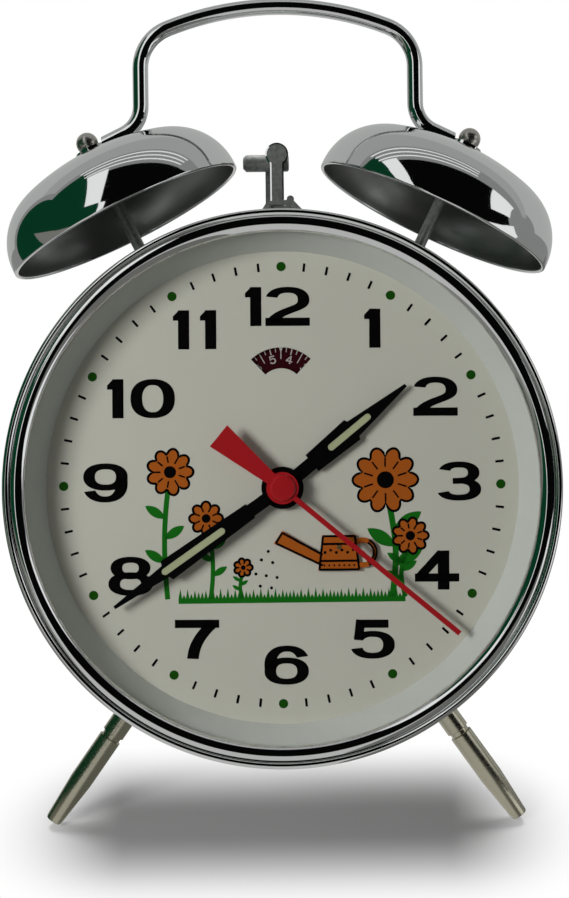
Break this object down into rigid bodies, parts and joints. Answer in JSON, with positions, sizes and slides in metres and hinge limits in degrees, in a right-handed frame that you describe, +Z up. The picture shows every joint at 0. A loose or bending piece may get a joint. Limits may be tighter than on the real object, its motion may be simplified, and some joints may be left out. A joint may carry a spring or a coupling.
{
  "type": "twin bell alarm clock",
  "caption": "Wind-up twin bell alarm clock: round drum case on splayed feet, a bell each side of a hammer under a wire handle, and a working movement behind the dial.",
  "frame": {"origin": "table level under the middle of the clock's bounding box", "axes": "+Z up from the table; -Y towards the viewer, the way the dial faces; +X to the viewer's right"},
  "size_m": [0.1208, 0.0996, 0.1674],
  "materials": {
    "alarm_red": "matt dark red",
    "black_paint": "satin black",
    "brass": "stamped brass",
    "chrome": "bright chrome plate",
    "dial_white": "matt off-white",
    "figure_paint": "matt orange",
    "glass": "clear flat glass",
    "knob_black": "moulded black",
    "lume": "pale luminous fill",
    "nickel": "satin nickel plate",
    "red_paint": "satin red",
    "ring_grey": "matt light grey",
    "spring_steel": "blued spring steel",
    "steel": "bright steel",
    "zinc": "zinc-plated sheet"
  },
  "bodies": {
    "case": {"case_drum": "chrome", "bezel": "chrome", "front_glass": "glass", "dial_ring": "ring_grey", "dial": "dial_white", "back_cover": "chrome", "back_cover_screws": "nickel", "cover_spacers": "steel", "foot_left": "nickel", "foot_right": "nickel", "case_nuts": "zinc", "left_bell": "chrome", "right_bell": "chrome", "left_bell_post": "zinc", "right_bell_post": "zinc", "left_bell_nut": "chrome", "right_bell_nut": "chrome", "carry_handle": "chrome", "hammer_guide": "zinc", "front_plate": "zinc", "back_plate": "zinc", "plate_pillars": "steel", "time_mainspring": "spring_steel", "hairspring": "spring_steel", "alarm_mainspring": "spring_steel", "alarm_release_spring": "spring_steel"},
    "minute": {"centre_wheel": "brass", "cannon_pinion": "steel", "minute_hand": "black_paint", "minute_hand_lume": "lume"},
    "third": {"third_wheel": "brass"},
    "seconds": {"fourth_wheel": "brass", "second_hand": "red_paint"},
    "escape": {"escape_wheel": "brass"},
    "lever": {"pallet_lever": "brass", "rocking_figure": "figure_paint"},
    "balance": {"balance_wheel": "brass"},
    "motion": {"motion_wheel": "brass", "time_set_knob": "knob_black"},
    "hour": {"hour_wheel": "brass", "hour_hand": "black_paint", "hour_hand_lume": "lume"},
    "alarm_follower": {"alarm_wheel": "brass"},
    "time_drive": {"time_main_wheel": "brass"},
    "time_winding": {"time_winding_arbor": "steel", "time_key": "nickel"},
    "time_pawl": {"time_click": "steel"},
    "alarm_drive": {"alarm_main_wheel": "brass"},
    "alarm_winding": {"alarm_winding_arbor": "steel", "alarm_key": "nickel"},
    "alarm_pawl": {"alarm_click": "steel"},
    "alarm_runner": {"alarm_escape_wheel": "brass"},
    "hammer": {"hammer_arm": "zinc", "hammer_striker": "zinc"},
    "alarm_setting": {"alarm_set_arbor": "steel", "alarm_disc": "alarm_red", "alarm_set_knob": "knob_black"},
    "alarm_stop_rod": {"alarm_stop_pin": "nickel"},
    "regulator": {"regulator_lever": "steel"}
  },
  "joints": [
    {"name": "minute_turn", "type": "hinge", "parent": "case", "child": "minute", "pos_m": [0, -0.01032, 0.06617], "axis": [0, 0.9455, -0.3256], "continuous": true},
    {"name": "hour_turn", "type": "hinge", "parent": "case", "child": "hour", "pos_m": [0, -0.01789, 0.06878], "axis": [0, 0.9455, -0.3256], "continuous": true},
    {"name": "third_turn", "type": "hinge", "parent": "case", "child": "third", "pos_m": [-0.00321, -0.00427, 0.07455], "axis": [0, 0.9455, -0.3256], "continuous": true},
    {"name": "seconds_turn", "type": "hinge", "parent": "case", "child": "seconds", "pos_m": [0, -0.0037, 0.06389], "axis": [0, 0.9455, -0.3256], "continuous": true},
    {"name": "escape_turn", "type": "hinge", "parent": "case", "child": "escape", "pos_m": [0.00856, -0.00282, 0.05725], "axis": [0, 0.9455, -0.3256], "continuous": true},
    {"name": "motion_turn", "type": "hinge", "parent": "case", "child": "motion", "pos_m": [0, -0.02019, 0.05595], "axis": [0, 0.9455, -0.3256], "continuous": true},
    {"name": "time_drive_turn", "type": "hinge", "parent": "case", "child": "time_drive", "pos_m": [-0.0245, -0.01127, 0.0665], "axis": [0, 0.9455, -0.3256], "continuous": true},
    {"name": "alarm_follower_turn", "type": "hinge", "parent": "case", "child": "alarm_follower", "pos_m": [0, -0.01071, 0.08809], "axis": [0, 0.9455, -0.3256], "continuous": true},
    {"name": "balance_swing", "type": "hinge", "parent": "case", "child": "balance", "pos_m": [0.01727, -0.00294, 0.03848], "axis": [0, 0.9455, -0.3256], "range_deg": [-180, 180], "stiffness_Nm_per_rad": 0.00004, "deforming": ["hairspring"]},
    {"name": "lever_rock", "type": "hinge", "parent": "case", "child": "lever", "pos_m": [0.0119, -0.00315, 0.05014], "axis": [0, 0.9455, -0.3256], "range_deg": [-6, 6]},
    {"name": "time_wind", "type": "hinge", "parent": "time_drive", "child": "time_winding", "pos_m": [-0.0245, -0.01032, 0.06617], "axis": [0, 0.9455, -0.3256], "continuous": true, "deforming": ["time_mainspring"]},
    {"name": "time_click_lift", "type": "hinge", "parent": "time_drive", "child": "time_pawl", "pos_m": [-0.01631, -0.00751, 0.07127], "axis": [0, 0.9455, -0.3256], "range_deg": [-20, 0], "stiffness_Nm_per_rad": 0.00005},
    {"name": "alarm_run", "type": "hinge", "parent": "case", "child": "alarm_drive", "pos_m": [0.027, -0.00997, 0.07028], "axis": [0, 0.9455, -0.3256], "continuous": true},
    {"name": "alarm_runner_turn", "type": "hinge", "parent": "case", "child": "alarm_runner", "pos_m": [0.01457, -0.00162, 0.08531], "axis": [0, 0.9455, -0.3256], "continuous": true},
    {"name": "alarm_wind", "type": "hinge", "parent": "alarm_drive", "child": "alarm_winding", "pos_m": [0.027, -0.00902, 0.06995], "axis": [0, 0.9455, -0.3256], "continuous": true, "deforming": ["alarm_mainspring"]},
    {"name": "alarm_click_lift", "type": "hinge", "parent": "alarm_drive", "child": "alarm_pawl", "pos_m": [0.03519, -0.00621, 0.07505], "axis": [0, 0.9455, -0.3256], "range_deg": [-20, 0], "stiffness_Nm_per_rad": 0.00005},
    {"name": "alarm_set", "type": "hinge", "parent": "case", "child": "alarm_setting", "pos_m": [0, 0.00395, 0.08304], "axis": [0, 0.9455, -0.3256], "continuous": true},
    {"name": "hammer_swing", "type": "hinge", "parent": "case", "child": "hammer", "pos_m": [0.008, 0.0045, 0.09385], "axis": [0, 0.9455, -0.3256], "range_deg": [-1, 9]},
    {"name": "alarm_stop", "type": "slide", "parent": "case", "child": "alarm_stop_rod", "axis": [0, -0.9455, 0.3256], "range_m": [0, 0.005]},
    {"name": "regulator_turn", "type": "hinge", "parent": "case", "child": "regulator", "pos_m": [0.01727, 0.00368, 0.0362], "axis": [0, 0.9455, -0.3256], "range_deg": [-18, 18]}
  ],
  "couplings": [
    {"joint": "hour_turn", "follows": "minute_turn", "ratio": 0.083333},
    {"joint": "third_turn", "follows": "minute_turn", "ratio": -9},
    {"joint": "seconds_turn", "follows": "minute_turn", "ratio": 60},
    {"joint": "escape_turn", "follows": "minute_turn", "ratio": -480},
    {"joint": "motion_turn", "follows": "minute_turn", "ratio": -0.33333},
    {"joint": "time_drive_turn", "follows": "minute_turn", "ratio": -0.16667},
    {"joint": "alarm_follower_turn", "follows": "minute_turn", "ratio": -0.083333},
    {"joint": "lever_rock", "follows": "balance_swing", "ratio": 0.033333},
    {"joint": "alarm_runner_turn", "follows": "alarm_run", "ratio": -6}
  ]
}
